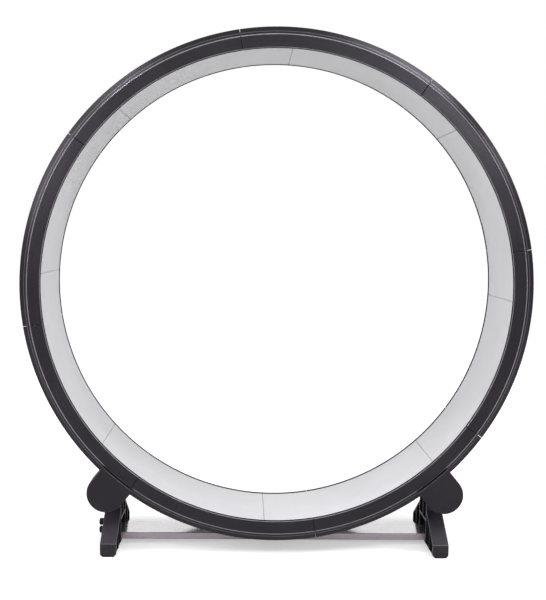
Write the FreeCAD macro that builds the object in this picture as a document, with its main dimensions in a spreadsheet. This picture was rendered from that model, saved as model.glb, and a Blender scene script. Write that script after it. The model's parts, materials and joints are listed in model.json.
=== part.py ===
"""Exercise wheel: a ring of eight padded segments that turns on four rollers in a low base.

Millimetres. The origin is on the floor under the middle of the ring, +Z up, and the ring turns
about the Y axis. The front is towards -Y. Left and right are -X and +X, seen from the front.
"""
import FreeCAD, Part
import os
import re

import Sketcher
from FreeCAD import Placement, Rotation, Vector

SIZES = {
    # ring, as distances from its own axis and from its middle plane
    "track_radius": 592.0,  # grooves that run on the rollers
    "lip_rise": 17.6,  # from the tracks out to the lips and the band
    "rim_depth": 33.0,  # from the tracks in to the edge of the side rims
    "wheel_width": 266.0,
    "floor_clearance": 35.7,
    "segment_count": 8,
    "rim_turn": 13.2,  # degrees from the top to the middle of the first segment
    "pad_turn": 12.0,  # degrees from the rim seams to the pad seams
    "shell_wall": 3.0,
    "rim_lip": 9.0,  # width of the edge beside the pads
    "rim_inner_round": 2.5,
    "rim_outer_round": 3.2,
    "shoulder": 4.0,  # step between the face and the lip
    "lip_slope": 8.0,
    "lip_crest": 3.0,
    "lip_fall": 2.0,  # width of the lip's side towards the track
    "lip_round": 1.4,
    "band_slope": 8.0,  # width of the slope between track and band
    "band_round": 3.0,
    "face_seam": 1.2,
    "band_seam": 1.0,
    "end_wall": 3.0,
    "chamber_count": 4,
    "rib_thickness": 2.4,
    # running pads
    "pad_thickness": 4.0,
    "pad_recess": 1.0,  # the pads lie this far below the rim's edge
    "pad_side_gap": 0.3,
    "pad_seam": 0.6,
    # plates and screws that join the segments
    "joint_plate_length": 70.0,
    "joint_plate_width": 200.0,
    "joint_plate_thickness": 5.0,
    "joint_screw_radius": 2.5,
    "joint_screw_length": 9.0,
    "joint_screw_reach": 18.0,  # from the seam
    "joint_screw_spread": 70.0,  # from the middle plane
    # clearances between pieces
    "fit_gap": 0.1,
    "turning_gap": 0.05,  # radial, between a shaft or stud and what turns on it
    "moving_gap": 0.3,  # between faces that pass each other
    "wheel_gap": 3.0,  # from the raised band to the supports below it
    # supports
    "support_half_spacing": 397.7,
    "support_width": 39.0,
    "support_length": 290.0,
    "support_round": 2.5,
    "sole_chamfer": 6.5,
    "toe_height": 32.5,
    "tower_half": 48.0,
    "tower_foot": 92.0,
    "support_wall": 4.5,
    "outer_skin": 3.5,
    "pocket_rib": 4.0,
    "leg_rib_place": 95.0,  # from the middle plane
    "bar_room_top": 62.0,
    "gusset_thickness": 10.0,
    "gusset_foot": 102.0,
    "boss_radius": 14.0,
    "flange_thickness": 4.0,
    # rubber foot pads
    "foot_stand": 1.0,
    "foot_pad_thickness": 4.0,
    "foot_pad_width": 24.0,
    "foot_pad_length": 34.0,
    "foot_pad_place": 112.0,  # middle of the pad, from the middle plane
    # roller shafts and rollers
    "shaft_radius": 4.0,
    "shaft_chamfer": 0.8,
    "shaft_end_room": 2.0,
    "roller_radius": 34.4,
    "roller_width": 22.0,
    "roller_play": 1.5,  # from each side of the roller to the lip and the band
    "roller_side_gap": 3.0,  # from the back of the roller to the support
    "tyre_thickness": 4.8,
    "tyre_round": 2.0,
    "hub_rim": 3.0,
    "hub_web": 6.0,
    "hub_boss": 3.5,
    "bearing_radius": 11.0,
    "bearing_width": 7.0,
    "bearing_shield_inner": 6.2,
    "bearing_shield_outer": 9.4,
    "bearing_shield_depth": 0.6,
    "hub_bore": 8.0,
    "spacer_radius": 5.6,
    "washer_radius": 6.4,
    "washer_thickness": 1.2,
    "nut_flats": 13.0,
    "nut_height": 5.5,
    # covers
    "cover_radius": 45.5,
    "cover_drop": 9.6,  # from the shaft out to the middle of the cover's arc
    "cover_stand": 10.0,  # in front of the face of the ring
    "cover_wall": 3.0,
    "cover_ring_gap": 1.5,
    "cover_round": 2.0,
    "cover_lip_gap": 0.5,  # from the face of the ring to the cover's hollow edge
    "cover_screw_radius": 1.75,
    "cover_screw_length": 14.0,
    "cover_screw_turn": 75.0,  # degrees between neighbours
    "cover_boss_radius": 4.2,
    # bar and its brackets
    "bar_depth": 90.0,
    "bar_thickness": 17.0,
    "bar_height": 14.0,  # underside above the floor
    "bar_round": 2.0,
    "bar_side_gap": 0.5,
    "bar_end_room": 12.0,
    "bracket_thickness": 3.0,
    "bracket_width": 60.0,
    "bracket_height": 47.0,
    "bracket_toe_room": 1.0,
    "bar_screw_radius": 2.0,
    "bar_screw_length": 14.0,
    "bar_screw_spread": 22.0,
    "bar_screw_inset": 9.0,
    # clamping knobs and the screws that take their place on the right
    "stud_radius": 3.0,
    "stud_hole_gap": 0.2,
    "lower_stud_height": 25.0,
    "upper_stud_height": 45.0,
    "weld_nut_radius": 6.0,
    "weld_nut_height": 5.0,
    "stud_tip": 1.5,
    "knob_radius": 8.6,
    "knob_neck_radius": 5.0,
    "knob_neck_length": 4.0,
    "knob_length": 20.0,
    "knob_round": 4.0,
    "flute_radius": 1.6,
    "flute_count": 10,
}

# Lengths and places that follow from the sizes
FOLLOWS = {
    "wheel_radius": "track_radius + lip_rise",
    "rim_radius": "track_radius - rim_depth",
    "axle_height": "wheel_radius + floor_clearance",
    "half_width": "wheel_width / 2",
    "deck_radius": "rim_radius + pad_recess + pad_thickness",
    "deck_back": "deck_radius + shell_wall",
    "channel_half": "half_width - rim_lip",
    "lip_foot": "half_width - shoulder",
    "lip_front": "lip_foot - lip_slope",
    "lip_back": "lip_front - lip_crest",
    "track_front": "lip_back - lip_fall",
    "band_foot": "roller_back - roller_play",
    "band_edge": "band_foot - band_slope",
    "segment_span": "360 / segment_count",
    "rim_span": "segment_span - face_seam / track_radius * 180 / pi",
    "band_span": "segment_span - band_seam / wheel_radius * 180 / pi",
    "rib_span": "rib_thickness / wheel_radius * 180 / pi",
    "end_span": "end_wall / wheel_radius * 180 / pi",
    "chamber_pitch": "(band_span - 2 * end_span + rib_span) / chamber_count",
    "joint_screw_angle": "joint_screw_reach / deck_radius * 180 / pi",
    "shaft_reach": "track_radius + moving_gap + roller_radius",
    "shaft_height": "axle_height - sqrt(shaft_reach^2 - support_half_spacing^2)",
    "roller_angle": "asin(support_half_spacing / shaft_reach)",
    "roller_front": "track_front - roller_play",
    "roller_back": "roller_front - roller_width",
    "roller_middle": "roller_front - roller_width / 2",
    "flange_front": "roller_back - roller_side_gap",
    "flange_back": "flange_front - flange_thickness",
    "hub_radius": "roller_radius - tyre_thickness - fit_gap",
    "bearing_seat": "bearing_radius + fit_gap",
    "shaft_bore": "shaft_radius + turning_gap",
    "cover_face": "half_width + cover_stand",
    "cover_back": "flange_front + fit_gap",
    "cover_lip": "half_width + cover_lip_gap",
    "cover_edge": "track_radius + cover_ring_gap",
    "cover_reach": "shaft_reach + cover_drop",
    "shaft_half": "cover_face - cover_wall - shaft_end_room",
    "cut_radius": "wheel_radius + wheel_gap",
    "half_length": "support_length / 2",
    "half_support": "support_width / 2",
    "leg_slope": "(tower_foot - toe_height) / (half_length - tower_half)",
    "skin_face": "half_support - outer_skin",
    "bar_room": "bar_depth / 2 + bar_side_gap",
    "bracket_face": "skin_face - bracket_thickness",
    "bracket_foot": "bar_height - bracket_thickness",
    "bar_half": "support_half_spacing + bracket_face - bar_end_room",
}

LEFT, RIGHT = -1, 1
FRONT, REAR = 1, -1
SIDES = {"left": LEFT, "right": RIGHT}
FACES = {"front": FRONT, "rear": REAR}
COVER_SCREWS = (-1, 0, 1)
SPIN_AXIS = Vector(0, 1, 0)
UP = Vector(0, 0, 1)

document = FreeCAD.newDocument("exercise_wheel")
sheet = document.addObject("Spreadsheet::Sheet", "dims")
for row, (alias, size) in enumerate(SIZES.items(), start=1):
    sheet.set(f"A{row}", alias)
    sheet.set(f"B{row}", str(size))
    sheet.setAlias(f"B{row}", alias)
document.recompute()
nodes = []


def formula(text):
    """The expression that a text of size names stands for."""
    def spell(match):
        word = match.group()
        if word in FOLLOWS:
            return "(" + formula(FOLLOWS[word]) + ")"
        return "dims." + word if word in SIZES else word
    return re.sub(r"[a-z_]+", spell, str(text))


def value(text):
    """The present number of a formula."""
    return float(sheet.evalExpression("(" + formula(text) + ") * 1.0"))


def bind(thing, path, text):
    thing.setExpression(path, formula(text))


def piece(name, x="0", y="0", z="0", turn=None, axis=SPIN_AXIS):
    """An empty body with its own label, at a place given by formulas."""
    body = document.addObject("PartDesign::Body", name)
    body.Label = name
    body.Placement = Placement(Vector(), Rotation(axis, 1 if turn else 0))
    for letter, text in zip("xyz", (x, y, z)):
        bind(body, f"Placement.Base.{letter}", text)
    if turn:
        bind(body, "Placement.Rotation.Angle", turn)
    return body


def sketch_on(body, plane, lift="0", tilt=None, tilt_axis=UP, x="0", y="0"):
    """An empty sketch on one of the body's own planes, lifted, shifted or tilted by formulas."""
    sketch = body.newObject("Sketcher::SketchObject", "sketch")
    support = next(item for item in body.Origin.OriginFeatures if item.Role == plane)
    sketch.AttachmentSupport = (support, "")
    sketch.MapMode = "FlatFace"
    sketch.AttachmentOffset = Placement(Vector(), Rotation(tilt_axis, 1 if tilt else 0))
    for letter, text in zip("xyz", (x, y, lift)):
        bind(sketch, f"AttachmentOffset.Base.{letter}", text)
    if tilt:
        bind(sketch, "AttachmentOffset.Rotation.Angle", tilt)
    return sketch


def fix(sketch, kind, number, *where):
    """One sketch dimension, bound to its formula."""
    index = sketch.addConstraint(Sketcher.Constraint(kind, *where, value(number)))
    bind(sketch, f"Constraints[{index}]", number)


def outline(sketch, points, arcs=None):
    """A closed outline through points given by formulas.

    arcs gives a radius formula for each edge that is an arc, by the edge's place in the list.
    A radius that starts with a minus sign bends the other way round.
    """
    spots = [Vector(value(x), value(y), 0) for x, y in points]
    ends = []
    for index, start in enumerate(spots):
        stop = spots[(index + 1) % len(spots)]
        radius = (arcs or {}).get(index)
        if radius is None:
            edge = sketch.addGeometry(Part.LineSegment(start, stop))
            ends.append((edge, 1, 2))
            continue
        clockwise = radius.startswith("-")
        size = value(radius.lstrip("-"))
        chord = stop - start
        across = Vector(-chord.y, chord.x, 0).normalize()
        rise = (size ** 2 - (chord.Length / 2) ** 2) ** 0.5
        centre = start + chord / 2 + across * (-rise if clockwise else rise)
        middle = centre - across * (-size if clockwise else size)
        edge = sketch.addGeometry(Part.Arc(start, middle, stop))
        ends.append((edge, 2, 1) if clockwise else (edge, 1, 2))
        fix(sketch, "Radius", radius.lstrip("-"), edge)
    for index, (edge, first, last) in enumerate(ends):
        following = ends[(index + 1) % len(ends)]
        sketch.addConstraint(Sketcher.Constraint("Coincident", edge, last, *following[:2]))
        fix(sketch, "DistanceX", points[index][0], -1, 1, edge, first)
        fix(sketch, "DistanceY", points[index][1], -1, 1, edge, first)


def ring(sketch, radius, x="0", y="0"):
    edge = sketch.addGeometry(Part.Circle(Vector(value(x), value(y), 0), UP, value(radius)))
    fix(sketch, "DistanceX", x, -1, 1, edge, 3)
    fix(sketch, "DistanceY", y, -1, 1, edge, 3)
    fix(sketch, "Radius", radius, edge)


def mirrored(points):
    """Points with their mirror images across the vertical axis, as one closed outline."""
    return points + [(f"-({x})", y) for x, y in reversed(points)]


def box_points(left, bottom, right, top):
    return [(left, bottom), (right, bottom), (right, top), (left, top)]


def extrude(kind, body, sketch, length, both_ways=False, backwards=False):
    feature = body.newObject("PartDesign::" + kind, kind.lower())
    feature.Profile = sketch
    feature.SideType = "Symmetric" if both_ways else "One side"
    feature.Reversed = backwards
    bind(feature, "Length", length)
    return feature


def spin(kind, body, sketch, axis, angle="360"):
    """A revolution or groove, half of its angle on each side of the sketch."""
    feature = body.newObject("PartDesign::" + kind, kind.lower())
    feature.Profile = sketch
    feature.ReferenceAxis = (sketch, [axis])
    feature.Midplane = True
    bind(feature, "Angle", angle)
    return feature


def round_edges(body, radius, chosen, kind="Fillet"):
    """A fillet or chamfer on the edges of the body so far that the test picks."""
    document.recompute()
    base = body.Tip
    names = [f"Edge{n}" for n, edge in enumerate(base.Shape.Edges, start=1) if chosen(edge)]
    feature = body.newObject("PartDesign::" + kind, kind.lower())
    feature.Base = (base, names)
    bind(feature, "Radius" if kind == "Fillet" else "Size", radius)
    return feature


def near(number, text):
    return abs(number - value(text)) < 1e-4


def lies_flat(edge, letter, text):
    """Whether the whole edge lies at one coordinate."""
    low, high = getattr(edge.BoundBox, letter + "Min"), getattr(edge.BoundBox, letter + "Max")
    return near(low, text) and near(high, text)


def keep(*made):
    nodes.extend(made)


def group(name, pattern, places):
    """Separate copies of one small pattern piece, kept together as one node."""
    document.recompute()
    node = document.addObject("Part::Feature", name)
    node.Label = name
    solid = pattern.Shape.copy()
    solid.Placement = Placement()
    node.Shape = Part.makeCompound([solid.transformed(place.toMatrix()) for place in places])
    keep(node)


def screw_points(radius, length, gap="0"):
    """Half outline of a countersunk screw or its hole: the head is flush at height 0."""
    shank = f"{radius} + {gap}"
    return [("0", "0"), (f"2 * {radius} + {gap}", "0"), (shank, radius), (shank, length), ("0", length)]


def shifted(points, x="0", y="0"):
    return [(f"{x} + {px}", f"{y} + {py}") for px, py in points]


# Ring --------------------------------------------------------------------------------------------

def rim_profile():
    """Both side rims, both tracks and the deck under the pads, as one channel outline."""
    return mirrored([
        ("channel_half", "deck_radius"),
        ("channel_half", "rim_radius"),
        ("half_width", "rim_radius"),
        ("half_width", "track_radius"),
    ])


def lip_profile():
    """The raised lip that keeps the ring on its rollers."""
    return [
        ("lip_foot", "track_radius - shell_wall"),
        ("lip_foot", "track_radius"),
        ("lip_front", "wheel_radius"),
        ("lip_back", "wheel_radius"),
        ("track_front", "track_radius"),
        ("track_front", "track_radius - shell_wall"),
    ]


def band_profile():
    return mirrored([
        ("band_foot", "track_radius - shell_wall"),
        ("band_foot", "track_radius"),
        ("band_edge", "wheel_radius"),
    ])


def chamber_profile():
    """The hollow inside the shell."""
    return mirrored([
        ("half_width - shell_wall", "deck_back"),
        ("half_width - shell_wall", "track_radius - shell_wall"),
        ("band_foot - shell_wall", "track_radius - shell_wall"),
        ("band_edge - shell_wall", "wheel_radius - shell_wall"),
    ])


def ring_place(number, extra="0"):
    return dict(z="axle_height", turn=f"rim_turn + {extra} + {number} * segment_span")


def goes_round(radius, place):
    """The edges that run round the ring at this radius and distance from its middle plane."""
    def test(edge):
        return (isinstance(edge.Curve, Part.Circle) and near(edge.Curve.Radius, radius)
                and near(abs(edge.Curve.Center.y), place))
    return test


def rim_segment(number):
    body = piece(f"rim_segment_{number}", **ring_place(number))
    profile = sketch_on(body, "YZ_Plane")
    outline(profile, rim_profile())
    spin("Revolution", body, profile, "H_Axis", "rim_span")
    round_edges(body, "rim_inner_round", goes_round("rim_radius", "half_width"))
    round_edges(body, "rim_outer_round", goes_round("track_radius", "half_width"))
    profile = sketch_on(body, "YZ_Plane")
    outline(profile, band_profile())
    for side in SIDES.values():
        outline(profile, [(f"{side} * {y}", radius) for y, radius in lip_profile()])
    spin("Revolution", body, profile, "H_Axis", "band_span")
    round_edges(body, "band_round", goes_round("wheel_radius", "band_edge"))
    round_edges(body, "lip_round", goes_round("wheel_radius", "lip_front"))
    for chamber in range(SIZES["chamber_count"]):
        place = f"({chamber} - (chamber_count - 1) / 2) * chamber_pitch"
        profile = sketch_on(body, "YZ_Plane", tilt=place, tilt_axis=Vector(1, 0, 0))
        outline(profile, chamber_profile())
        spin("Groove", body, profile, "H_Axis", "chamber_pitch - rib_span")
    slot = sketch_on(body, "YZ_Plane")
    half = "joint_plate_width / 2 + fit_gap"
    outline(slot, box_points(f"-({half})", "deck_back", half,
                             "deck_back + joint_plate_thickness + 2 * fit_gap"))
    spin("Groove", body, slot, "H_Axis", "segment_span")
    for end in (-1, 1):
        for row in (-1, 1):
            hole = sketch_on(body, "XZ_Plane", lift=f"{row} * joint_screw_spread",
                             tilt=f"{end} * (segment_span / 2 - joint_screw_angle)")
            head = shifted(screw_points("joint_screw_radius", "joint_screw_length", "fit_gap"),
                           y="deck_radius")
            outline(hole, head)
            spin("Groove", body, hole, "V_Axis")
    keep(body)


def running_pad(number):
    body = piece(f"running_pad_{number}", **ring_place(number, "pad_turn"))
    profile = sketch_on(body, "YZ_Plane")
    half = "channel_half - pad_side_gap"
    outline(profile, box_points(f"-({half})", "deck_radius - pad_thickness", half, "deck_radius"))
    spin("Revolution", body, profile, "H_Axis", "segment_span - pad_seam / deck_radius * 180 / pi")
    keep(body)


def joint_plate(number):
    body = piece(f"joint_plate_{number}", **ring_place(number, "segment_span / 2"))
    profile = sketch_on(body, "YZ_Plane")
    outline(profile, box_points("-joint_plate_width / 2", "deck_back + fit_gap",
                                "joint_plate_width / 2",
                                "deck_back + fit_gap + joint_plate_thickness"))
    spin("Revolution", body, profile, "H_Axis", "joint_plate_length / deck_back * 180 / pi")
    for end in (-1, 1):
        for row in (-1, 1):
            hole = sketch_on(body, "XZ_Plane", lift=f"{row} * joint_screw_spread",
                             tilt=f"{end} * joint_screw_angle")
            outline(hole, box_points("0", "deck_radius", "joint_screw_radius + fit_gap",
                                     "deck_back + 2 * joint_plate_thickness"))
            spin("Groove", body, hole, "V_Axis")
    keep(body)


def joint_screws():
    screw = piece("joint_screw")
    profile = sketch_on(screw, "XZ_Plane")
    outline(profile, shifted(screw_points("joint_screw_radius", "joint_screw_length"),
                             y="deck_radius + fit_gap"))
    spin("Revolution", screw, profile, "V_Axis")
    places = []
    for seam in range(SIZES["segment_count"]):
        for end in (-1, 1):
            turn = value(f"rim_turn + ({seam} + 1 / 2) * segment_span + {end} * joint_screw_angle")
            for row in (-1, 1):
                spot = Vector(0, row * value("joint_screw_spread"), value("axle_height"))
                places.append(Placement(spot, Rotation(SPIN_AXIS, turn)))
    group("joint_screws", screw, places)


# Base --------------------------------------------------------------------------------------------

def slope_under(distance):
    """Height of a pocket's top under the sloping leg, at a distance from the middle plane."""
    return f"tower_foot - (({distance}) - tower_half) * leg_slope - 1.2 * support_wall"


def leg_pocket(near_end, far_end):
    floor = "foot_stand + support_wall"
    return [(near_end, floor), (far_end, floor), (far_end, slope_under(far_end)),
            (near_end, slope_under(near_end))]


def support(name, side):
    turn = "180" if side == LEFT else None
    body = piece(name, x=f"{side} * support_half_spacing", turn=turn, axis=UP)
    profile = sketch_on(body, "YZ_Plane")
    outline(profile, mirrored([
        ("half_length", "foot_stand"),
        ("half_length", "toe_height"),
        ("tower_half", "tower_foot"),
        ("tower_half", "axle_height - sqrt(cut_radius^2 - (support_half_spacing + half_support)^2)"),
    ]))
    extrude("Pad", body, profile, "support_width", both_ways=True)
    round_edges(body, "sole_chamfer", is_sole_edge, "Chamfer")
    round_edges(body, "support_round", lambda edge: lies_flat(edge, "X", "half_support"))
    bosses = sketch_on(body, "XZ_Plane")
    ring(bosses, "boss_radius", y="shaft_height")
    extrude("Pad", body, bosses, "2 * flange_front", both_ways=True)
    gussets = sketch_on(body, "YZ_Plane")
    for face in FACES.values():
        outline(gussets, [(f"{face} * {y}", z) for y, z in (
            ("(tower_half - 1)", "gusset_foot"), ("flange_back", "shaft_height - boss_radius"),
            ("flange_back", "shaft_height"), ("(tower_half - 1)", "shaft_height"))])
    extrude("Pad", body, gussets, "gusset_thickness", both_ways=True)
    for face in FACES.values():
        flange = cover_sketch(body, face)
        outline(flange, *cover_outline("0", "wheel_radius"))
        extrude("Pad", body, flange, "flange_thickness", backwards=face == REAR)
    hollow_support(body)
    drill_support(body, side)
    keep(body)


def is_sole_edge(edge):
    """The two long edges of a support's underside."""
    return lies_flat(edge, "Z", "foot_stand") and edge.BoundBox.YLength > value("half_length")


def cover_sketch(body, face):
    """A sketch at a support's flange, in the directions of the cover that it carries."""
    return sketch_on(body, "XZ_Plane", lift=f"{face} * flange_back", x="-support_half_spacing",
                     y="axle_height", tilt="roller_angle")


def hollow_support(body):
    """The pockets that open towards the other support, and the curved top under the ring."""
    pockets = sketch_on(body, "YZ_Plane", lift="-half_support")
    outline(pockets, box_points("-(bar_room)", "bracket_foot", "bar_room", "bar_room_top"))
    wall = "support_wall"
    rib = "pocket_rib / 2"
    legs = (leg_pocket(f"bar_room + {wall}", f"leg_rib_place - {rib}"),
            leg_pocket(f"leg_rib_place + {rib}", f"half_length - {wall}"))
    tower = box_points(rib, f"bar_room_top + {wall}", f"tower_half - {wall}",
                       f"shaft_height - boss_radius - {wall}")
    for points in (*legs, tower):
        for face in FACES.values():
            outline(pockets, [(f"{face} * ({y})", z) for y, z in points])
    extrude("Pocket", body, pockets, "support_width - outer_skin", backwards=True)
    above = sketch_on(body, "XZ_Plane")
    ring(above, "cut_radius", x="-support_half_spacing", y="axle_height")
    extrude("Pocket", body, above, "support_length", both_ways=True)


def cover_screw_spot(number):
    """Place of a cover screw from the ring's axis, before the roller's angle is applied."""
    reach = "(cover_radius - cover_boss_radius - cover_wall / 2)"
    turn = f"({number} * cover_screw_turn)"
    return f"{reach} * sin({turn})", f"-{reach} * cos({turn}) - cover_reach"


def drill_support(body, side):
    bore = sketch_on(body, "XZ_Plane")
    ring(bore, "shaft_radius + fit_gap", y="shaft_height")
    extrude("Pocket", body, bore, "support_length", both_ways=True)
    if side == LEFT:
        studs = sketch_on(body, "YZ_Plane", lift="half_support")
        for height in ("lower_stud_height", "upper_stud_height"):
            ring(studs, "stud_radius + stud_hole_gap", y=height)
        extrude("Pocket", body, studs, "2 * outer_skin")
    else:
        for height in ("lower_stud_height", "upper_stud_height"):
            hole = sketch_on(body, "XZ_Plane", y=height)
            points = screw_points("stud_radius", "2 * outer_skin", "stud_hole_gap")
            outline(hole, [(f"half_support - {y}", x) for x, y in points])
            spin("Groove", body, hole, "H_Axis")
    for face in FACES.values():
        holes = cover_sketch(body, face)
        for number in COVER_SCREWS:
            ring(holes, "cover_screw_radius + fit_gap", *cover_screw_spot(number))
        extrude("Pocket", body, holes, "flange_thickness", backwards=face == FRONT)
    feet = sketch_on(body, "XY_Plane", lift="foot_stand")
    foot_rectangles(feet, "fit_gap")
    extrude("Pocket", body, feet, "foot_pad_thickness - foot_stand", backwards=True)


def foot_rectangles(sketch, gap):
    half = f"(foot_pad_width / 2 + {gap})"
    reach = f"(foot_pad_length / 2 + {gap})"
    for face in FACES.values():
        middle = f"{face} * foot_pad_place"
        outline(sketch, box_points(f"-{half}", f"{middle} - {reach}", half, f"{middle} + {reach}"))


def foot_pads(name, side):
    body = piece(name, x=f"{side} * support_half_spacing")
    feet = sketch_on(body, "XY_Plane")
    foot_rectangles(feet, "0")
    extrude("Pad", body, feet, "foot_pad_thickness")
    keep(body)


def roller_cover(name, side, face):
    """A cup with a D-shaped front: its hollow edge follows the ring, its skirt meets the flange.

    The front stands before the ring's face and the skirt stops short of the ring's lip.
    """
    body = piece(name, z="axle_height", turn=f"-{side} * roller_angle")
    front = face == FRONT

    def layer(kind, start, end, points, arcs):
        sketch = sketch_on(body, "XZ_Plane", lift=f"{face} * ({start})")
        outline(sketch, points, arcs)
        backwards = not front if kind == "Pad" else front
        extrude(kind, body, sketch, f"({end}) - ({start})", backwards=backwards)

    layer("Pad", "cover_lip", "cover_face", *cover_outline("0", "cover_edge"))
    round_edges(body, "cover_round", is_outer_edge(f"-{face} * cover_face"))
    layer("Pad", "cover_back", "cover_lip", *cover_outline("0", "cut_radius"))
    inner = "cover_wall"
    layer("Pocket", "cover_lip", "cover_face - cover_wall",
          *cover_outline(inner, "cover_edge + cover_wall"))
    layer("Pocket", "cover_back", "cover_lip", *cover_outline(inner, "cut_radius - cover_wall"))
    bosses = sketch_on(body, "XZ_Plane", lift=f"{face} * cover_back")
    for number in COVER_SCREWS:
        ring(bosses, "cover_boss_radius", *cover_screw_spot(number))
    extrude("Pad", body, bosses, "cover_face - cover_back - cover_wall / 2", backwards=not front)
    holes = sketch_on(body, "XZ_Plane", lift=f"{face} * cover_back")
    for number in COVER_SCREWS:
        ring(holes, "cover_screw_radius + fit_gap", *cover_screw_spot(number))
    extrude("Pocket", body, holes, "cover_screw_length", backwards=front)
    keep(body)


def is_outer_edge(place):
    """The edges of a cover's front, apart from the one that follows the ring."""
    def test(edge):
        follows_ring = isinstance(edge.Curve, Part.Circle) and near(edge.Curve.Radius, "cover_edge")
        return lies_flat(edge, "Y", place) and not follows_ring
    return test


def cover_outline(inset, edge_radius):
    """The D, drawn as it hangs straight below the ring's axis, made smaller all round by inset.

    The straight sides run from the arc up to the edge that follows the ring.
    """
    radius = f"(cover_radius - {inset})"
    corner = f"-sqrt(({edge_radius})^2 - {radius}^2)"
    points = [
        (radius, corner),
        (f"-{radius}", corner),
        (f"-{radius}", "-cover_reach"),
        ("0", f"-cover_reach - {radius}"),
        (radius, "-cover_reach"),
    ]
    arcs = {0: "-" + edge_radius, 2: radius, 3: radius}
    return points, arcs


def roller_shaft(name, side):
    body = piece(name, x=f"{side} * support_half_spacing", z="shaft_height")
    section = sketch_on(body, "XZ_Plane")
    ring(section, "shaft_radius")
    extrude("Pad", body, section, "2 * shaft_half", both_ways=True)
    round_edges(body, "shaft_chamfer", lambda edge: isinstance(edge.Curve, Part.Circle), "Chamfer")
    keep(body)


def roller_place(side, face):
    return dict(x=f"{side} * support_half_spacing", y=f"-{face} * roller_middle", z="shaft_height")


def spun_piece(name, side, face, *outlines):
    """A round roller part from half sections around the shaft."""
    body = piece(name, **roller_place(side, face))
    section = sketch_on(body, "YZ_Plane")
    for points in outlines:
        outline(section, points)
    spin("Revolution", body, section, "H_Axis")
    keep(body)


def roller_tyre(name, side, face):
    spun_piece(name, side, face, mirrored([
        ("roller_width / 2", "hub_radius + fit_gap"),
        ("roller_width / 2", "roller_radius - tyre_round"),
        ("roller_width / 2 - tyre_round", "roller_radius"),
    ]))


def roller_hub(name, side, face):
    boss = "bearing_seat + hub_boss"
    spun_piece(name, side, face, mirrored([
        ("roller_width / 2 - bearing_width", "hub_bore"),
        ("roller_width / 2 - bearing_width", "bearing_seat"),
        ("roller_width / 2", "bearing_seat"),
        ("roller_width / 2", boss),
        ("hub_web / 2", boss),
        ("hub_web / 2", "hub_radius - hub_rim"),
        ("roller_width / 2", "hub_radius - hub_rim"),
        ("roller_width / 2", "hub_radius"),
    ]))


def roller_bearings(name, side, face):
    outer, inner = "roller_width / 2", "roller_width / 2 - bearing_width"
    dish = "bearing_shield_depth"
    section = [
        (inner, "shaft_bore"),
        (outer, "shaft_bore"),
        (outer, "bearing_shield_inner"),
        (f"{outer} - {dish}", "bearing_shield_inner"),
        (f"{outer} - {dish}", "bearing_shield_outer"),
        (outer, "bearing_shield_outer"),
        (outer, "bearing_radius"),
        (inner, "bearing_radius"),
    ]
    other = [(f"-({x})", y) for x, y in section]
    spun_piece(name, side, face, section, other)


def sleeve(name, start, end, radius):
    """A pattern piece round the front end of a shaft, from one distance to another."""
    body = piece(name)
    section = sketch_on(body, "YZ_Plane")
    outline(section, box_points(f"-({end})", "shaft_bore", f"-({start})", radius))
    spin("Revolution", body, section, "H_Axis")
    return body


def corner_places(height="shaft_height"):
    """One placement for each end of each shaft."""
    places = []
    for side in SIDES.values():
        spot = Vector(side * value("support_half_spacing"), 0, value(height))
        for face in FACES.values():
            places.append(Placement(spot, Rotation(UP, 0 if face == FRONT else 180)))
    return places


def axle_hardware():
    """What keeps each roller in place along its shaft."""
    gap = "moving_gap"
    inner_face = f"roller_back + bearing_width + {gap}"
    outer_face = f"roller_front - bearing_width - {gap}"
    group("bearing_spacers", sleeve("bearing_spacer", inner_face, outer_face, "spacer_radius"),
          corner_places())
    group("back_washers", sleeve("back_washer", "flange_front", f"roller_back - {gap}",
                                 "washer_radius"), corner_places())
    washer_end = f"roller_front + {gap} + washer_thickness"
    group("front_washers", sleeve("front_washer", f"roller_front + {gap}", washer_end,
                                  "washer_radius"), corner_places())
    nut = piece("axle_nut")
    section = sketch_on(nut, "XZ_Plane", lift=washer_end)
    corner = "nut_flats / 2 / cos(30)"
    outline(section, [(f"{corner} * cos({k} * 60)", f"{corner} * sin({k} * 60)") for k in range(6)])
    ring(section, "shaft_bore")
    extrude("Pad", nut, section, "nut_height")
    group("axle_nuts", nut, corner_places())


def pan_screw(name, radius, length, start):
    """A pattern screw along -Y with its domed head behind the starting distance."""
    body = piece(name)
    section = sketch_on(body, "YZ_Plane")
    outline(section, [
        (f"-({start} + {length})", "0"),
        (f"{radius} - {start}", "0"),
        (f"{radius} - {start}", radius),
        (f"{radius} / 2 - {start}", f"2 * {radius}"),
        (f"-({start})", f"2 * {radius}"),
        (f"-({start})", radius),
        (f"-({start} + {length})", radius),
    ])
    spin("Revolution", body, section, "H_Axis")
    return body


def cover_screws():
    screw = pan_screw("cover_screw", "cover_screw_radius", "cover_screw_length", "flange_back")
    tilt = Rotation(SPIN_AXIS, -value("roller_angle"))
    places = []
    for side in SIDES.values():
        for face in FACES.values():
            for number in COVER_SCREWS:
                x, y = cover_screw_spot(number)
                reach = tilt.multVec(Vector(value(x), 0, value(y)))
                spot = Vector(side * reach.x, 0, value("axle_height") + reach.z)
                places.append(Placement(spot, Rotation(UP, 0 if face == FRONT else 180)))
    group("cover_screws", screw, places)


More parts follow.
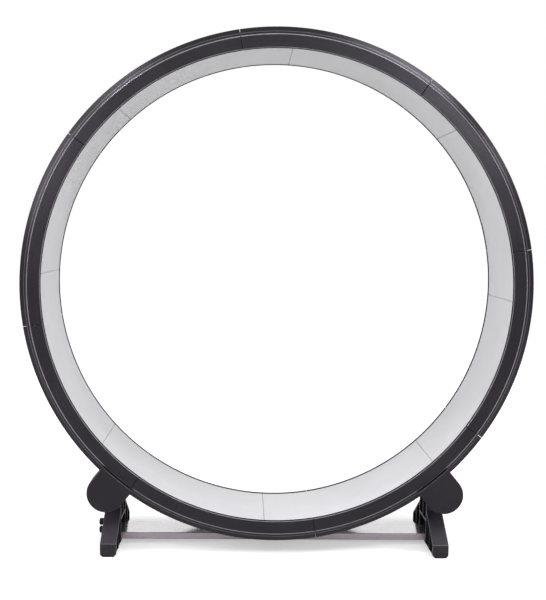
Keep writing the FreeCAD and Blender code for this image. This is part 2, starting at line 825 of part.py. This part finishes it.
def connecting_bar():
    body = piece("connecting_bar")
    section = sketch_on(body, "YZ_Plane")
    outline(section, box_points("-bar_depth / 2", "bar_height", "bar_depth / 2",
                                "bar_height + bar_thickness"))
    extrude("Pad", body, section, "2 * bar_half", both_ways=True)
    round_edges(body, "bar_round", lambda edge: edge.BoundBox.XLength > value("bar_half"))
    for side in SIDES.values():
        for row in (-1, 1):
            hole = sketch_on(body, "XZ_Plane", lift=f"{row} * bar_screw_spread",
                             x=f"{side} * (bar_half - bar_screw_inset)", y="bracket_foot")
            outline(hole, box_points("0", "0", "bar_screw_radius + fit_gap",
                                     "bar_screw_length + fit_gap"))
            spin("Groove", body, hole, "V_Axis")
    keep(body)


def bar_bracket(name, side):
    """An angle under the bar's end, with two weld nuts on its upright leg."""
    turn = "180" if side == LEFT else None
    body = piece(name, x=f"{side} * support_half_spacing", turn=turn, axis=UP)
    profile = sketch_on(body, "XZ_Plane")
    toe = "bracket_toe_room - half_support"
    outline(profile, [
        (toe, "bracket_foot"),
        ("skin_face", "bracket_foot"),
        ("skin_face", "bracket_foot + bracket_height"),
        ("bracket_face", "bracket_foot + bracket_height"),
        ("bracket_face", "bar_height"),
        (toe, "bar_height"),
    ])
    extrude("Pad", body, profile, "bracket_width", both_ways=True)
    nuts = sketch_on(body, "YZ_Plane", lift="bracket_face")
    holes = sketch_on(body, "YZ_Plane", lift="skin_face")
    for height in ("lower_stud_height", "upper_stud_height"):
        ring(nuts, "weld_nut_radius", y=height)
        ring(holes, "stud_radius + turning_gap", y=height)
    extrude("Pad", body, nuts, "weld_nut_height", backwards=True)
    extrude("Pocket", body, holes, "bracket_thickness + weld_nut_height")
    for row in (-1, 1):
        hole = sketch_on(body, "XZ_Plane", lift=f"{row} * bar_screw_spread",
                         x="bracket_face - bar_end_room - bar_screw_inset", y="bracket_foot")
        outline(hole, screw_points("bar_screw_radius", "2 * bracket_thickness", "fit_gap"))
        spin("Groove", body, hole, "V_Axis")
    keep(body)


def bar_screws():
    screw = piece("bar_screw")
    section = sketch_on(screw, "XZ_Plane")
    outline(section, screw_points("bar_screw_radius", "bar_screw_length"))
    spin("Revolution", screw, section, "V_Axis")
    reach = value("bar_half - bar_screw_inset")
    spread = value("bar_screw_spread")
    places = [Placement(Vector(side * reach, row * spread, value("bracket_foot")), Rotation())
              for side in SIDES.values() for row in (-1, 1)]
    group("bar_screws", screw, places)


def bracket_screws():
    """Flush screws that hold the right bracket, where the left one has the knobs."""
    screw = piece("bracket_screw")
    section = sketch_on(screw, "XZ_Plane")
    length = "outer_skin + bracket_thickness + weld_nut_height + stud_tip"
    outline(section, [(f"-({y})", x) for x, y in screw_points("stud_radius", length)])
    spin("Revolution", screw, section, "H_Axis")
    reach = value("support_half_spacing + half_support")
    places = [Placement(Vector(reach, 0, value(height)), Rotation())
              for height in ("lower_stud_height", "upper_stud_height")]
    group("bracket_screws", screw, places)


def clamping_knob(name, height):
    """A fluted grip on a threaded stud, on the outer side of the left support."""
    body = piece(name, x="-support_half_spacing - half_support", z=height)
    section = sketch_on(body, "XZ_Plane")
    stud_end = "outer_skin + bracket_thickness + weld_nut_height + stud_tip"
    neck = "moving_gap + knob_neck_length"
    grip = "moving_gap + knob_length"
    outline(section, [
        (stud_end, "0"),
        (stud_end, "stud_radius"),
        ("-moving_gap", "stud_radius"),
        ("-moving_gap", "knob_neck_radius"),
        (f"-({neck})", "knob_neck_radius"),
        (f"-({neck})", "knob_radius"),
        (f"knob_round - ({grip})", "knob_radius"),
        (f"-({grip})", "knob_radius - knob_round"),
        (f"-({grip})", "0"),
    ], {6: "knob_round"})
    spin("Revolution", body, section, "H_Axis")
    flute = sketch_on(body, "YZ_Plane", lift=f"-({neck})")
    ring(flute, "flute_radius", y="knob_radius")
    cut = extrude("Pocket", body, flute, "knob_length")
    pattern = body.newObject("PartDesign::PolarPattern", "polarpattern")
    pattern.Originals = [cut]
    pattern.Axis = (flute, ["N_Axis"])
    bind(pattern, "Occurrences", "flute_count")
    body.Tip = pattern
    keep(body)


# Assembly ----------------------------------------------------------------------------------------

for place in range(SIZES["segment_count"]):
    rim_segment(place)
    running_pad(place)
    joint_plate(place)
joint_screws()
for side_name, side_sign in SIDES.items():
    support(f"support_{side_name}", side_sign)
    foot_pads(f"foot_pads_{side_name}", side_sign)
    roller_shaft(f"roller_shaft_{side_name}", side_sign)
    bar_bracket(f"bar_bracket_{side_name}", side_sign)
    for face_name, face_sign in FACES.items():
        corner_name = f"{face_name}_{side_name}"
        roller_cover(f"roller_cover_{corner_name}", side_sign, face_sign)
        roller_tyre(f"roller_tyre_{corner_name}", side_sign, face_sign)
        roller_hub(f"roller_hub_{corner_name}", side_sign, face_sign)
        roller_bearings(f"roller_bearings_{corner_name}", side_sign, face_sign)
axle_hardware()
cover_screws()
connecting_bar()
bar_screws()
bracket_screws()
clamping_knob("knob_lower", "lower_stud_height")
clamping_knob("knob_upper", "upper_stud_height")
document.recompute()

for item in document.Objects:
    if "Invalid" in item.State or "Error" in item.State:
        raise RuntimeError(f"{item.Name} failed: {item.State}")
for node in nodes:
    if node.Shape.isNull() or not node.Shape.isValid():
        raise RuntimeError(f"{node.Label} has no valid shape")

os.makedirs("parts", exist_ok=True)
for node in nodes:
    node.Shape.exportStep(f"parts/{node.Label}.step")
print(len(nodes), "nodes")
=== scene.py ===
"""Looks of the exercise wheel: materials, foam running pads, floor, light and camera.

Metres, in the part's own frame: origin on the floor under the middle of the ring, +Z up, the
ring turns about Y, and the front is towards -Y. Colours are linear.
"""
import json
import math

import bpy
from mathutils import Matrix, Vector

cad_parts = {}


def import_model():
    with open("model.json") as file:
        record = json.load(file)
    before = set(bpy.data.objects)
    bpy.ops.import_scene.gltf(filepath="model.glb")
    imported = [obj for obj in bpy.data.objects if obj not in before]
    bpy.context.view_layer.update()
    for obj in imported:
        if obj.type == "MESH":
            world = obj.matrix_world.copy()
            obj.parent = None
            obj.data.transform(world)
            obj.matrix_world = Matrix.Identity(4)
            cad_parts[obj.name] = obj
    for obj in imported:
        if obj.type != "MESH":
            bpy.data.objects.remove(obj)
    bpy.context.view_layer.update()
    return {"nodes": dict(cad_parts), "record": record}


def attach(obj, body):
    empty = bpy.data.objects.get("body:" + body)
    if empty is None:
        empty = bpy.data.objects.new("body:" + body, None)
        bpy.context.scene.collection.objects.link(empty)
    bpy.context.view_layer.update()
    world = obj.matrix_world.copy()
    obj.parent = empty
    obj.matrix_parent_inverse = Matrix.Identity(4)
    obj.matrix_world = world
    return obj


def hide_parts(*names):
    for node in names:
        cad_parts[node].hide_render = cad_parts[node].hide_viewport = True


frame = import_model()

MM = 0.001
NODES = frame["nodes"]
AXLE = Vector(next(j["pos_m"] for j in frame["record"]["behaviour"]["joints"]
                   if j["name"] == "wheel_spin"))

# camera, from the photograph's perspective
CAMERA_PLACE = (-0.0825, -2.552, 0.7927)
CAMERA_TURN = (85.859, -0.765, -1.599)  # degrees about X, Y and Z
PHOTO_LONG_SIDE = 600
FOCAL_PIXELS = 1029.13
SENSOR = 36.0

# ring, as distances from its own axis
RIM_EDGE = 559 * MM
FACE_EDGE = 592 * MM
FACE_MIDDLE = (RIM_EDGE + FACE_EDGE) / 2
FACE_SWELL = 1.0  # how steeply the faces fall away from their middle
# ring, as distances from its middle plane
LIP_CREST = 124 * MM  # the faces and their slopes lie further out than this
GAP_SHADE = (121.4 * MM, 122.2 * MM)  # painted shade darkens the pads from here to here, beside the rim

# painted highlight lines round the ring's faces: radius, half width, strength
RING_HIGHLIGHTS = ((591.0 * MM, 1.2 * MM, 1.0),
              (560.2 * MM, 0.5 * MM, 0.8),
              (598.0 * MM, 0.4 * MM, 0.4))
LINE_FADE = 0.6 * MM
CREST_FADE = 1.0 * MM

# black plastic: gloss in its pockets, lowered there as painted shade, on its open faces and on the
# edges painted with highlights
POCKET_SHINE = 0.04
SHINE = 0.20
EDGE_SHINE = 0.7
EDGE_POLISH = 0.12  # an edge painted with a highlight is smoother than its face by this
SHINE_START = (0.4 * MM, 0.7 * MM)  # the rim's gloss grows here, counted from its inner edge
GRAIN = 0.06 * MM
COARSE_GRAIN = 0.1 * MM
# painted shade: corners and narrow gaps darken towards this black, within this reach
CORNER_SHADE = (0.001, 0.001, 0.001, 1)
CORNER_SHADE_REACH = 6 * MM
POCKET_REACH = 60 * MM


# Node graphs -------------------------------------------------------------------------------------

NOISE_ROUGHNESS = 0.55
SOFT_SAMPLES = 6


class Graph:
    """A material's node tree, with short calls for the nodes that repeat."""

    def __init__(self, name):
        self.material = bpy.data.materials.new(name)
        self.material.use_nodes = True
        self.tree = self.material.node_tree
        self.shader = self.tree.nodes["Principled BSDF"]
        self.spot = self.add("ShaderNodeTexCoord").outputs["Object"]

    def add(self, kind, **values):
        node = self.tree.nodes.new(kind)
        for key, value in values.items():
            setattr(node, key, value)
        return node

    def feed(self, socket, source):
        """Sets a socket to a number or a colour, or links it to another node's output."""
        if isinstance(source, bpy.types.NodeSocket):
            self.tree.links.new(source, socket)
        else:
            socket.default_value = source

    def set(self, name, source):
        self.feed(self.shader.inputs[name], source)

    def math(self, operation, *sources):
        node = self.add("ShaderNodeMath", operation=operation)
        for socket, source in zip(node.inputs, sources):
            self.feed(socket, source)
        return node.outputs[0]

    def noise(self, scale, detail, spot=None):
        """Cloudy noise: scale in lumps per metre, detail in finer layers."""
        node = self.add("ShaderNodeTexNoise")
        self.feed(node.inputs["Vector"], spot or self.spot)
        self.feed(node.inputs["Scale"], scale)
        self.feed(node.inputs["Detail"], detail)
        self.feed(node.inputs["Roughness"], NOISE_ROUGHNESS)
        return node.outputs["Fac"]

    def cells(self, scale):
        """Distance to the nearest of many scattered points, for pores."""
        node = self.add("ShaderNodeTexVoronoi")
        self.feed(node.inputs["Vector"], self.spot)
        self.feed(node.inputs["Scale"], scale)
        return node.outputs["Distance"]

    def span(self, source, low, high, to_low=0.0, to_high=1.0):
        """Maps a range of the source to another range, held at its ends."""
        node = self.add("ShaderNodeMapRange")
        for name, value in (("Value", source), ("From Min", low), ("From Max", high),
                            ("To Min", to_low), ("To Max", to_high)):
            self.feed(node.inputs[name], value)
        return node.outputs["Result"]

    def mix(self, share, first, second):
        """Colour between first (share 0) and second (share 1)."""
        node = self.add("ShaderNodeMix", data_type="RGBA")
        colours = [socket for socket in node.inputs if socket.type == "RGBA"]
        self.feed(node.inputs[0], share)
        self.feed(colours[0], first)
        self.feed(colours[1], second)
        return next(socket for socket in node.outputs if socket.type == "RGBA")

    def bump(self, height, distance, strength=1.0, under=None):
        """The surface's direction with small relief added on top of the one under it."""
        node = self.add("ShaderNodeBump")
        self.feed(node.inputs["Height"], height)
        self.feed(node.inputs["Distance"], distance)
        self.feed(node.inputs["Strength"], strength)
        if under:
            self.feed(node.inputs["Normal"], under)
        return node.outputs["Normal"]

    def rounded_edges(self, radius):
        """The surface's direction with its sharp edges rounded, so that they catch the light."""
        node = self.add("ShaderNodeBevel", samples=SOFT_SAMPLES)
        self.feed(node.inputs["Radius"], radius)
        return node.outputs["Normal"]

    def edge_share(self, rounded):
        """1 on the sharp edges, 0 on the open faces."""
        facing = self.add("ShaderNodeNewGeometry").outputs["Normal"]
        likeness = self.add("ShaderNodeVectorMath", operation="DOT_PRODUCT")
        self.feed(likeness.inputs[0], rounded)
        self.feed(likeness.inputs[1], facing)
        return self.span(likeness.outputs["Value"], 0.99, 0.86)

    def openness(self, distance):
        """1 in the open, less in corners and narrow gaps."""
        node = self.add("ShaderNodeAmbientOcclusion", samples=SOFT_SAMPLES)
        self.feed(node.inputs["Distance"], distance)
        return node.outputs["AO"]

    def round_the_axle(self):
        """(radius, angle, place across the ring) as one vector, for marks that run round it."""
        parts = self.add("ShaderNodeSeparateXYZ")
        self.feed(parts.inputs[0], self.spot)
        x = parts.outputs["X"]
        z = self.math("SUBTRACT", parts.outputs["Z"], AXLE.z)
        radius = self.math("SQRT", self.math("ADD", self.math("MULTIPLY", x, x),
                                             self.math("MULTIPLY", z, z)))
        angle = self.math("ARCTAN2", z, x)
        joined = self.add("ShaderNodeCombineXYZ")
        for socket, source in zip(joined.inputs, (radius, angle, parts.outputs["Y"])):
            self.feed(socket, source)
        return joined.outputs[0]

    def stretched(self, spot, scale):
        node = self.add("ShaderNodeMapping")
        self.feed(node.inputs["Vector"], spot)
        self.feed(node.inputs["Scale"], scale)
        return node.outputs[0]


def seen_rays(tree):
    """1 for camera, glossy and transmission rays, 0 for the rays that light the object."""
    path = tree.nodes.new("ShaderNodeLightPath")
    seen = path.outputs["Is Camera Ray"]
    for ray in ("Is Glossy Ray", "Is Transmission Ray"):
        either = tree.nodes.new("ShaderNodeMath")
        either.operation = "MAXIMUM"
        tree.links.new(seen, either.inputs[0])
        tree.links.new(path.outputs[ray], either.inputs[1])
        seen = either.outputs[0]
    return seen


def black(level):
    """A near black with the faint violet cast of the moulded plastic."""
    return (1.02 * level, 0.91 * level, 1.14 * level, 1.0)


def highlight_grey(level):
    """The greyer tone painted on edges as a highlight."""
    return (level, 0.95 * level, 1.03 * level, 1.0)


# Materials ---------------------------------------------------------------------------------------

def moulded_plastic(name, dark, light, gloss, edge, scuffed_and_highlit, grain=GRAIN, upward_light=None):
    """Satin black plastic: fine moulded grain, cloudy tone, faint rub marks, painted highlights on
    its edges and painted shade in its corners and gaps.

    edge is the rounding of its edges; the tone after it is the grey of the painted edge
    highlights. The last argument is the tone of painted light that faces turned upwards take;
    without it the plastic is that of the ring, whose marks and painted highlight lines run round
    its axis.
    """
    g = Graph(name)
    rounded = g.rounded_edges(edge)
    cloud = g.noise(9.0, 5.0)
    fine = g.noise(260.0, 3.0)
    tone = g.math("ADD", g.math("MULTIPLY", cloud, 0.75), g.math("MULTIPLY", fine, 0.25))
    plain = g.mix(g.span(tone, 0.35, 0.65), dark, light)
    open_air = g.openness(CORNER_SHADE_REACH)
    uneven = g.span(g.noise(45.0, 3.0), 0.3, 0.6, 0.7, 1.0)
    under = g.bump(g.noise(1500.0, 2.0), grain, 0.6, rounded)
    if upward_light:
        turn = g.add("ShaderNodeSeparateXYZ")
        g.feed(turn.inputs[0], g.add("ShaderNodeNewGeometry").outputs["Normal"])
        # painted light: faces turned upwards take a lighter tone
        plain = g.mix(g.span(turn.outputs["Z"], 0.05, 0.35), plain, upward_light)
        outside = g.openness(POCKET_REACH)
        not_sideways = g.span(g.math("ABSOLUTE", turn.outputs["X"]), 0.5, 0.2)
        # painted highlights on the convex edges, kept out of the pockets and off the sideways
        # faces
        highlit_edges = g.math("MULTIPLY", g.edge_share(rounded), g.span(outside, 0.55, 0.8))
        highlight_share = g.math("MULTIPLY", highlit_edges, not_sideways)
        marks_spot = g.stretched(g.spot, (60.0, 60.0, 700.0))
        # painted shade: gloss lowered in the pockets
        g.set("Specular IOR Level", g.span(outside, 0.35, 0.75, POCKET_SHINE, SHINE))
    else:
        around = g.round_the_axle()
        radius, across = ring_place(g, around)
        # painted highlight lines at the ring's outer corner, inner edge and slope
        highlight_share = ring_highlights(g, radius, across)
        marks_spot = g.stretched(around, (900.0, 5.0, 900.0))
        off_middle = g.math("SUBTRACT", g.math("MINIMUM", radius, FACE_EDGE), FACE_MIDDLE)
        dome = g.math("MULTIPLY", g.math("MULTIPLY", off_middle, off_middle), -FACE_SWELL)
        under = g.bump(dome, 1.0, under=under)
        # painted shade: gloss taken off the rim's inner wall beside the pads
        away_from_pads = g.span(radius, *(RIM_EDGE + start for start in SHINE_START))
        polish = g.span(highlight_share, 0.0, 1.0, SHINE, EDGE_SHINE)
        g.set("Specular IOR Level", g.math("MULTIPLY", polish, away_from_pads))
    # painted highlights: the edges and the ring's lines lighten towards their pale tone
    edged = g.mix(g.math("MULTIPLY", highlight_share, uneven), plain, scuffed_and_highlit)
    # painted shade: darker in corners and narrow gaps
    g.set("Base Color", g.mix(g.span(open_air, 0.2, 0.7), CORNER_SHADE, edged))
    marks = g.noise(1.0, 2.0, marks_spot)
    rubbed = g.span(marks, 0.58, 0.78, 0.0, 0.08)
    blotches = g.span(g.noise(5.0, 3.0), 0.4, 0.7, 0.0, 0.07)
    satin = g.math("ADD", g.math("SUBTRACT", gloss, rubbed), blotches)
    g.set("Roughness", g.math("SUBTRACT", satin, g.math("MULTIPLY", highlight_share, EDGE_POLISH)))
    g.set("Specular Tint", (0.93, 0.84, 1.0, 1.0))
    g.set("Normal", g.bump(g.noise(7.0, 1.0), 0.4 * MM, 0.5, under))
    return g.material


def ring_place(g, around):
    """How far a point is from the ring's axis, and from its middle plane."""
    parts = g.add("ShaderNodeSeparateXYZ")
    g.feed(parts.inputs[0], around)
    return parts.outputs["X"], g.math("ABSOLUTE", parts.outputs["Z"])


def ring_highlights(g, radius, across):
    """Painted highlight lines round the ring's faces: outer corner, inner edge, one on the slope.
    """
    lines = 0.0
    for place, half_width, strength in RING_HIGHLIGHTS:
        off = g.math("ABSOLUTE", g.math("SUBTRACT", radius, place))
        line = g.span(off, half_width, half_width + LINE_FADE, strength, 0.0)
        lines = g.math("MAXIMUM", lines, line)
    return g.math("MULTIPLY", lines, g.span(across, LIP_CREST - CREST_FADE, LIP_CREST))


def foam():
    """Closed-cell foam sheet: pale grey, tiny pores, soft scuffs along the way of running, painted
    shade beside the rim.
    """
    g = Graph("running_foam")
    around = g.round_the_axle()
    pores = g.cells(1100.0)
    cloud = g.noise(6.0, 4.0)
    scuff = g.noise(1.0, 3.0, g.stretched(around, (10.0, 6.0, 160.0)))
    tone = g.mix(g.span(cloud, 0.35, 0.7), (0.465, 0.46, 0.48, 1), (0.515, 0.51, 0.53, 1))
    scuffed_and_highlit = g.mix(g.span(scuff, 0.56, 0.8, 0.0, 0.35), tone, (0.42, 0.415, 0.432, 1))
    speckled = g.mix(g.span(pores, 0.0, 0.35, 0.22, 0.0), scuffed_and_highlit, (0.335, 0.33, 0.345, 1))
    across = ring_place(g, around)[1]
    # painted shade: the pads darken towards black beside the rim
    g.set("Base Color", g.mix(g.span(across, *GAP_SHADE), speckled, (0.02, 0.019, 0.022, 1)))
    g.set("Roughness", g.span(cloud, 0.3, 0.7, 0.62, 0.78))
    g.set("Specular IOR Level", 0.35)
    g.set("Sheen Weight", 0.08)
    g.set("Sheen Roughness", 0.6)
    fine = g.bump(pores, 0.25 * MM, 0.5)
    g.set("Normal", g.bump(g.noise(14.0, 2.0), 0.8 * MM, 0.35, fine))
    return g.material


def laminate():
    """Pale gloss board with a faint warm tint and long soft streaks."""
    g = Graph("bar_laminate")
    streaks = g.noise(1.0, 4.0, g.stretched(g.spot, (6.0, 220.0, 220.0)))
    tone = g.mix(g.span(streaks, 0.35, 0.7), (0.205, 0.184, 0.197, 1), (0.19, 0.17, 0.183, 1))
    g.set("Base Color", tone)
    g.set("Roughness", g.span(g.noise(30.0, 3.0), 0.3, 0.7, 0.17, 0.23))
    g.set("Specular IOR Level", 1.0)
    g.set("Specular Tint", (1.0, 0.86, 0.96, 1.0))
    g.set("Coat Weight", 1.0)
    g.set("Coat Roughness", 0.12)
    g.set("Coat Tint", (1.0, 0.97, 0.99, 1.0))
    g.set("Normal", g.bump(streaks, 0.02 * MM, 0.5))
    return g.material


def rubber(name, level):
    """Matt black rubber with a cloudy tone and fine grain."""
    g = Graph(name)
    cloud = g.noise(40.0, 4.0)
    g.set("Base Color", g.mix(cloud, black(level * 0.8), black(level * 1.3)))
    g.set("Roughness", g.span(cloud, 0.3, 0.7, 0.62, 0.82))
    g.set("Specular IOR Level", 0.3)
    g.set("Normal", g.bump(g.noise(1300.0, 2.0), 0.1 * MM, 0.6))
    return g.material


def nylon():
    """Off-white moulded nylon with a cloudy tone and fine grain."""
    g = Graph("roller_nylon")
    cloud = g.noise(50.0, 3.0)
    g.set("Base Color", g.mix(cloud, (0.66, 0.65, 0.62, 1), (0.78, 0.77, 0.74, 1)))
    g.set("Roughness", g.span(cloud, 0.3, 0.7, 0.38, 0.55))
    g.set("Subsurface Weight", 0.05)
    g.set("Normal", g.bump(g.noise(900.0, 2.0), 0.05 * MM, 0.5))
    return g.material


def steel(name, colour, roughness):
    """Turned or plated steel with fine lines across Y and small stains."""
    g = Graph(name)
    lines = g.noise(1.0, 3.0, g.stretched(g.spot, (300.0, 2500.0, 300.0)))
    stains = g.noise(70.0, 4.0)
    darker = tuple(0.75 * c for c in colour[:3]) + (1.0,)
    g.set("Base Color", g.mix(g.span(stains, 0.4, 0.75), colour, darker))
    g.set("Metallic", 1.0)
    g.set("Roughness", g.math("ADD", g.span(lines, 0.3, 0.7, roughness - 0.06, roughness + 0.06),
                              g.span(stains, 0.5, 0.8, 0.0, 0.12)))
    g.set("Normal", g.bump(lines, 0.03 * MM, 0.5))
    return g.material


def make_materials():
    return {
        "rim_plastic": moulded_plastic("rim_plastic", black(0.004), black(0.008), 0.27,
                                       2.0 * MM, highlight_grey(0.14)),
        "base_plastic": moulded_plastic("base_plastic", black(0.010), black(0.016), 0.40,
                                        2.0 * MM, highlight_grey(0.24), upward_light=black(0.034)),
        "cover_plastic": moulded_plastic("cover_plastic", black(0.004), black(0.008), 0.40,
                                         2.0 * MM, highlight_grey(0.17), COARSE_GRAIN, black(0.02)),
        "knob_plastic": moulded_plastic("knob_plastic", black(0.003), black(0.006), 0.36,
                                        1.0 * MM, highlight_grey(0.06), upward_light=black(0.02)),
        "running_foam": foam(),
        "bar_laminate": laminate(),
        "roller_tyre": rubber("roller_tyre", 0.03),
        "foot_rubber": rubber("foot_rubber", 0.015),
        "roller_nylon": nylon(),
        "bearing_steel": steel("bearing_steel", (0.62, 0.63, 0.65, 1), 0.24),
        "zinc_steel": steel("zinc_steel", (0.56, 0.57, 0.60, 1), 0.34),
    }


def dress(material_of):
    """Gives every CAD node the material of its slot."""
    for row in frame["record"]["subparts"]:
        node = NODES[row["node"]]
        for slot in node.material_slots:
            slot.material = material_of[row["material_slot"]]


# Running pads ------------------------------------------------------------------------------------

PAD_STEPS = 72
PAD_EDGE = 1.2 * MM
PAD_EDGE_STEPS = 3
SHARP_ANGLE = math.radians(60)


def polar(vertex):
    """Radius, angle and place across the ring of a point."""
    x, z = vertex.x - AXLE.x, vertex.z - AXLE.z
    return math.hypot(x, z), math.atan2(z, x), vertex.y


def pad_extent(node):
    """Inner and outer radius, first and last angle, and the two sides of a pad."""
    radii, angles, sides = zip(*(polar(vertex.co) for vertex in node.data.vertices))
    middle = math.atan2(sum(map(math.sin, angles)), sum(map(math.cos, angles)))
    turns = [(angle - middle + math.pi) % (2 * math.pi) - math.pi for angle in angles]
    return ((min(radii), max(radii)), (middle + min(turns), middle + max(turns)),
            (min(sides), max(sides)))


def running_pad(name, material):
    """A foam strip bent to the ring, as a closed strip with softly rounded edges."""
    (inner, outer), (first_angle, last_angle), (front, back) = pad_extent(NODES[name])
    corners = [(inner, front), (inner, back), (outer, back), (outer, front)]
    verts, faces = [], []
    for step in range(PAD_STEPS + 1):
        angle = first_angle + (last_angle - first_angle) * step / PAD_STEPS
        for radius, side in corners:
            verts.append((AXLE.x + radius * math.cos(angle), side,
                          AXLE.z + radius * math.sin(angle)))
    for step in range(PAD_STEPS):
        first, following = 4 * step, 4 * (step + 1)
        for k in range(4):
            after = (k + 1) % 4
            faces.append((first + k, first + after, following + after, following + k))
    faces.append((3, 2, 1, 0))
    faces.append(tuple(4 * PAD_STEPS + k for k in range(4)))
    mesh = bpy.data.meshes.new(name)
    mesh.from_pydata(verts, [], faces)
    mesh.validate()
    mesh.materials.append(material)
    pad = bpy.data.objects.new("foam_" + name, mesh)
    bpy.context.collection.objects.link(pad)
    mesh.shade_smooth()
    bevel = pad.modifiers.new("edge_round", "BEVEL")
    bevel.width = PAD_EDGE
    bevel.segments = PAD_EDGE_STEPS
    bevel.limit_method = "ANGLE"
    bevel.angle_limit = SHARP_ANGLE
    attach(pad, "wheel")
    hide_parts(name)


# Floor, light and camera -------------------------------------------------------------------------

FLOOR_SIZE = 40.0
FLOOR_TONE = (0.8, 0.8, 0.8, 1)
GLOW_DISTANCES = (0.7, 1.6)  # from the middle of the part; the floor's glow grows between them
GLOW = (0.42, 0.62)
SKY_LIGHT = 0.5

# name, place, aim, size, power
LAMPS = (
    ("box_above", (0, -2.5, 2.7), (0, -0.1, 0.3), (1.6, 0.6), 34),
    ("box_key", (1.5, -1.4, 3.0), (0, -0.1, 0.5), (1.0, 1.0), 48),
    ("box_right", (2.9, -1.5, 2.2), (0.4, -0.1, 0.9), (0.5, 0.5), 10),
    ("box_upper_left", (-1.65, -1.0, 2.75), (-0.4, -0.1, 1.1), (0.25, 0.4), 22),
    ("box_left", (-2.8, -1.8, 2.0), (0.2, 0, 0.8), (1.4, 1.4), 38),
    ("box_front_left", (-1.15, -3.0, 1.25), (-0.4, 0, 0.9), (0.8, 0.6), 11),
    ("box_front_right", (1.0, -3.0, 1.45), (0.4, 0, 1.0), (0.9, 0.7), 20),
    ("box_low_front", (0.05, -3.2, 1.1), (0, 0, 0.2), (1.2, 0.25), 2),
    ("box_back", (0, 2.6, 1.4), (0, 0, 0.4), (3.0, 1.4), 11),
)


def floor_material():
    """A pale matt surface that the camera sees lifted to white, with the shadow kept.

    The lift grows away from the object, where the lamps' light fades.
    """
    g = Graph("floor")
    g.set("Base Color", FLOOR_TONE)
    g.set("Roughness", 0.9)
    g.set("Specular IOR Level", 0.1)
    away = g.add("ShaderNodeVectorMath", operation="LENGTH")
    g.feed(away.inputs[0], g.spot)
    glow = g.span(away.outputs["Value"], *GLOW_DISTANCES, *GLOW)
    g.set("Emission Color", (1, 1, 1, 1))
    g.set("Emission Strength", g.math("MULTIPLY", seen_rays(g.tree), glow))
    return g.material


def floor():
    half = FLOOR_SIZE / 2
    mesh = bpy.data.meshes.new("floor")
    mesh.from_pydata([(-half, -half, 0), (half, -half, 0), (half, half, 0), (-half, half, 0)],
                     [], [(0, 1, 2, 3)])
    mesh.materials.append(floor_material())
    plane = bpy.data.objects.new("floor", mesh)
    bpy.context.collection.objects.link(plane)


def world():
    """White for the camera and for gloss, softer for what lights the object."""
    sky = bpy.data.worlds.new("studio")
    bpy.context.scene.world = sky
    sky.use_nodes = True
    tree = sky.node_tree
    background = tree.nodes["Background"]
    background.inputs["Color"].default_value = (1, 1, 1, 1)
    choose = tree.nodes.new("ShaderNodeMapRange")
    choose.inputs["To Min"].default_value = SKY_LIGHT
    choose.inputs["To Max"].default_value = 1.0
    tree.links.new(seen_rays(tree), choose.inputs["Value"])
    tree.links.new(choose.outputs["Result"], background.inputs["Strength"])


def soft_light(name, place, aim, size, power):
    """A rectangular lamp at a place, turned to what it aims at."""
    lamp = bpy.data.lights.new(name, "AREA")
    lamp.shape = "RECTANGLE"
    lamp.size, lamp.size_y = size
    lamp.energy = power
    light = bpy.data.objects.new(name, lamp)
    light.location = place
    direction = Vector(aim) - Vector(place)
    light.rotation_euler = direction.to_track_quat("-Z", "Y").to_euler()
    bpy.context.collection.objects.link(light)


def camera():
    lens = bpy.data.cameras.new("camera")
    lens.sensor_width = SENSOR
    lens.lens = SENSOR * FOCAL_PIXELS / PHOTO_LONG_SIDE
    view = bpy.data.objects.new("camera", lens)
    view.location = CAMERA_PLACE
    view.rotation_euler = [math.radians(angle) for angle in CAMERA_TURN]
    bpy.context.collection.objects.link(view)
    bpy.context.scene.camera = view


# Making ------------------------------------------------------------------------------------------

camera()
floor()
world()
for lamp_row in LAMPS:
    soft_light(*lamp_row)
finishes = make_materials()
dress(finishes)
for pad_name in [name for name in NODES if name.startswith("running_pad")]:
    running_pad(pad_name, finishes["running_foam"])

scene = bpy.context.scene
scene.view_settings.view_transform = "Standard"
